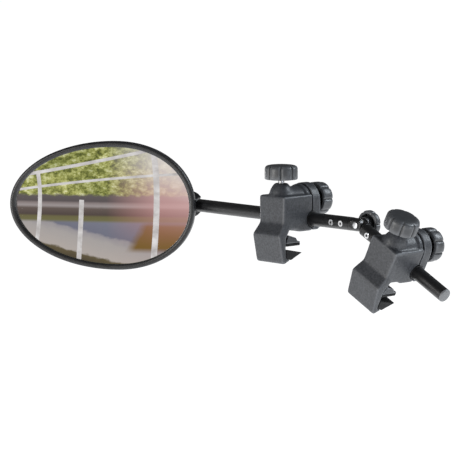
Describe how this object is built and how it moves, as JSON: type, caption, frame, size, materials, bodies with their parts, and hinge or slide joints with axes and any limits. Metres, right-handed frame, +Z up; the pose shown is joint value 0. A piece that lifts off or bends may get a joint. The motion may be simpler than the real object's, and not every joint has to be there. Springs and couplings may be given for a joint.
{
  "type": "clamp-on towing mirror",
  "caption": "Clamp-on towing mirror with an egg-shaped head on a ball joint, a straight bar, a folding end bar and claw clamps with lobed knobs.",
  "frame": {"origin": "middle of the left clamp's throat, between its jaw and its claw", "axes": "+X along the main bar from the mirror head to the elbow, +Y the way the claws open, away from the mirror's face, +Z up"},
  "size_m": [0.4503, 0.1526, 0.1301],
  "materials": {
    "mirror": "polished, slightly convex",
    "foam": "dense foam",
    "trim_plastic": "fine grain",
    "housing_plastic": "coarse grain",
    "clamp_plastic": "satin moulded",
    "knob_plastic": "satin moulded",
    "rubber": "soft",
    "black_paint": "satin powder coat",
    "zinc_steel": "bright zinc",
    "dark_steel": "blackened",
    "brass": "knurled",
    "nylon": "natural",
    "black_acetal": "satin",
    "plug_grey": "satin"
  },
  "bodies": {
    "clamp_left": {"clamp_body_left": "clamp_plastic", "claw_pad_left": "rubber", "jaw_nut_left": "brass", "back_nut_left": "brass"},
    "plate_left": {"back_plate_left": "clamp_plastic", "back_spacer_left": "rubber"},
    "back_knob_left": {"back_screw_left": "zinc_steel", "back_knob_left": "knob_plastic"},
    "jaw_left": {"jaw_left": "clamp_plastic", "jaw_pad_left": "rubber"},
    "jaw_screw_left": {"jaw_screw_left": "zinc_steel", "jaw_clip_left": "dark_steel", "jaw_knob_left": "knob_plastic"},
    "sleeve_left": {"bar_sleeve_left": "black_acetal"},
    "main_bar": {"main_tube": "black_paint", "main_knuckle": "black_paint", "main_rivets": "zinc_steel", "ball_stud": "dark_steel", "elbow_disc": "nylon"},
    "elbow_washer": {"elbow_washer": "zinc_steel"},
    "elbow_knob": {"elbow_screw": "zinc_steel", "elbow_knob": "knob_plastic"},
    "end_bar": {"end_tube": "black_paint", "end_knuckle": "black_paint", "end_rivets": "zinc_steel", "end_plug": "plug_grey"},
    "ball_liner": {"ball_liner": "nylon"},
    "head": {"mirror_glass": "mirror", "mirror_backing": "foam", "mirror_bezel": "trim_plastic", "mirror_housing": "housing_plastic", "socket_cap": "housing_plastic", "socket_screws": "zinc_steel"},
    "sleeve_right": {"bar_sleeve_right": "black_acetal"},
    "clamp_right": {"clamp_body_right": "clamp_plastic", "claw_pad_right": "rubber", "jaw_nut_right": "brass", "back_nut_right": "brass"},
    "plate_right": {"back_plate_right": "clamp_plastic", "back_spacer_right": "rubber"},
    "back_knob_right": {"back_screw_right": "zinc_steel", "back_knob_right": "knob_plastic"},
    "jaw_right": {"jaw_right": "clamp_plastic", "jaw_pad_right": "rubber"},
    "jaw_screw_right": {"jaw_screw_right": "zinc_steel", "jaw_clip_right": "dark_steel", "jaw_knob_right": "knob_plastic"}
  },
  "joints": [
    {"name": "plate_left_slide", "type": "slide", "parent": "clamp_left", "child": "plate_left", "axis": [0, 1, 0], "range_m": [0, 0.0015]},
    {"name": "back_knob_left_turn", "type": "hinge", "parent": "plate_left", "child": "back_knob_left", "pos_m": [0, 0.0337, 0.03915], "axis": [0, 1, 0], "range_deg": [0, 540]},
    {"name": "jaw_left_slide", "type": "slide", "parent": "clamp_left", "child": "jaw_left", "axis": [0, 0, 1], "range_m": [-0.0017, 0.0034]},
    {"name": "jaw_screw_left_turn", "type": "hinge", "parent": "jaw_left", "child": "jaw_screw_left", "pos_m": [0, 0, 0.00815], "axis": [0, 0, 1], "range_deg": [-612, 1224]},
    {"name": "left_clamp_turn", "type": "hinge", "parent": "clamp_left", "child": "sleeve_left", "pos_m": [0, 0.0243, 0.02315], "axis": [1, 0, 0], "continuous": true},
    {"name": "left_clamp_slide", "type": "slide", "parent": "sleeve_left", "child": "main_bar", "axis": [-1, 0, 0], "range_m": [-0.096, 0.022]},
    {"name": "head_swing", "type": "hinge", "parent": "main_bar", "child": "ball_liner", "pos_m": [-0.1501, 0.0243, 0.02315], "axis": [0, 0, 1], "range_deg": [-60, 5]},
    {"name": "head_tilt", "type": "hinge", "parent": "ball_liner", "child": "head", "pos_m": [-0.1501, 0.0243, 0.02315], "axis": [0.7923, 0.6101, 0], "range_deg": [-15, 15]},
    {"name": "elbow_washer_slide", "type": "slide", "parent": "main_bar", "child": "elbow_washer", "axis": [0, 1, 0], "range_m": [0, 0.0015]},
    {"name": "elbow_knob_turn", "type": "hinge", "parent": "elbow_washer", "child": "elbow_knob", "pos_m": [0.0734, 0.0293, 0.02315], "axis": [0, 1, 0], "range_deg": [0, 540]},
    {"name": "elbow", "type": "hinge", "parent": "main_bar", "child": "end_bar", "pos_m": [0.0734, 0.0243, 0.02315], "axis": [0, 1, 0], "range_deg": [-117, 63]},
    {"name": "right_clamp_slide", "type": "slide", "parent": "end_bar", "child": "sleeve_right", "axis": [0.891, 0, -0.454], "range_m": [-0.0105, 0.036]},
    {"name": "right_clamp_turn", "type": "hinge", "parent": "sleeve_right", "child": "clamp_right", "pos_m": [0.1282, 0.0243, -0.00477], "axis": [0.891, 0, -0.454], "continuous": true},
    {"name": "plate_right_slide", "type": "slide", "parent": "clamp_right", "child": "plate_right", "axis": [0, 1, 0], "range_m": [0, 0.0015]},
    {"name": "back_knob_right_turn", "type": "hinge", "parent": "plate_right", "child": "back_knob_right", "pos_m": [0.13546, 0.0337, 0.00949], "axis": [0, 1, 0], "range_deg": [0, 540]},
    {"name": "jaw_right_slide", "type": "slide", "parent": "clamp_right", "child": "jaw_right", "axis": [0.454, 0, 0.891], "range_m": [-0.0017, 0.0034]},
    {"name": "jaw_screw_right_turn", "type": "hinge", "parent": "jaw_right", "child": "jaw_screw_right", "pos_m": [0.12139, 0, -0.01814], "axis": [0.454, 0, 0.891], "range_deg": [-612, 1224]}
  ],
  "couplings": [
    {"joint": "back_knob_left_turn", "follows": "plate_left_slide", "rad_per_m": 6283.2},
    {"joint": "jaw_screw_left_turn", "follows": "jaw_left_slide", "rad_per_m": 6283.2},
    {"joint": "elbow_knob_turn", "follows": "elbow_washer_slide", "rad_per_m": 6283.2},
    {"joint": "back_knob_right_turn", "follows": "plate_right_slide", "rad_per_m": 6283.2},
    {"joint": "jaw_screw_right_turn", "follows": "jaw_right_slide", "rad_per_m": 6283.2}
  ]
}
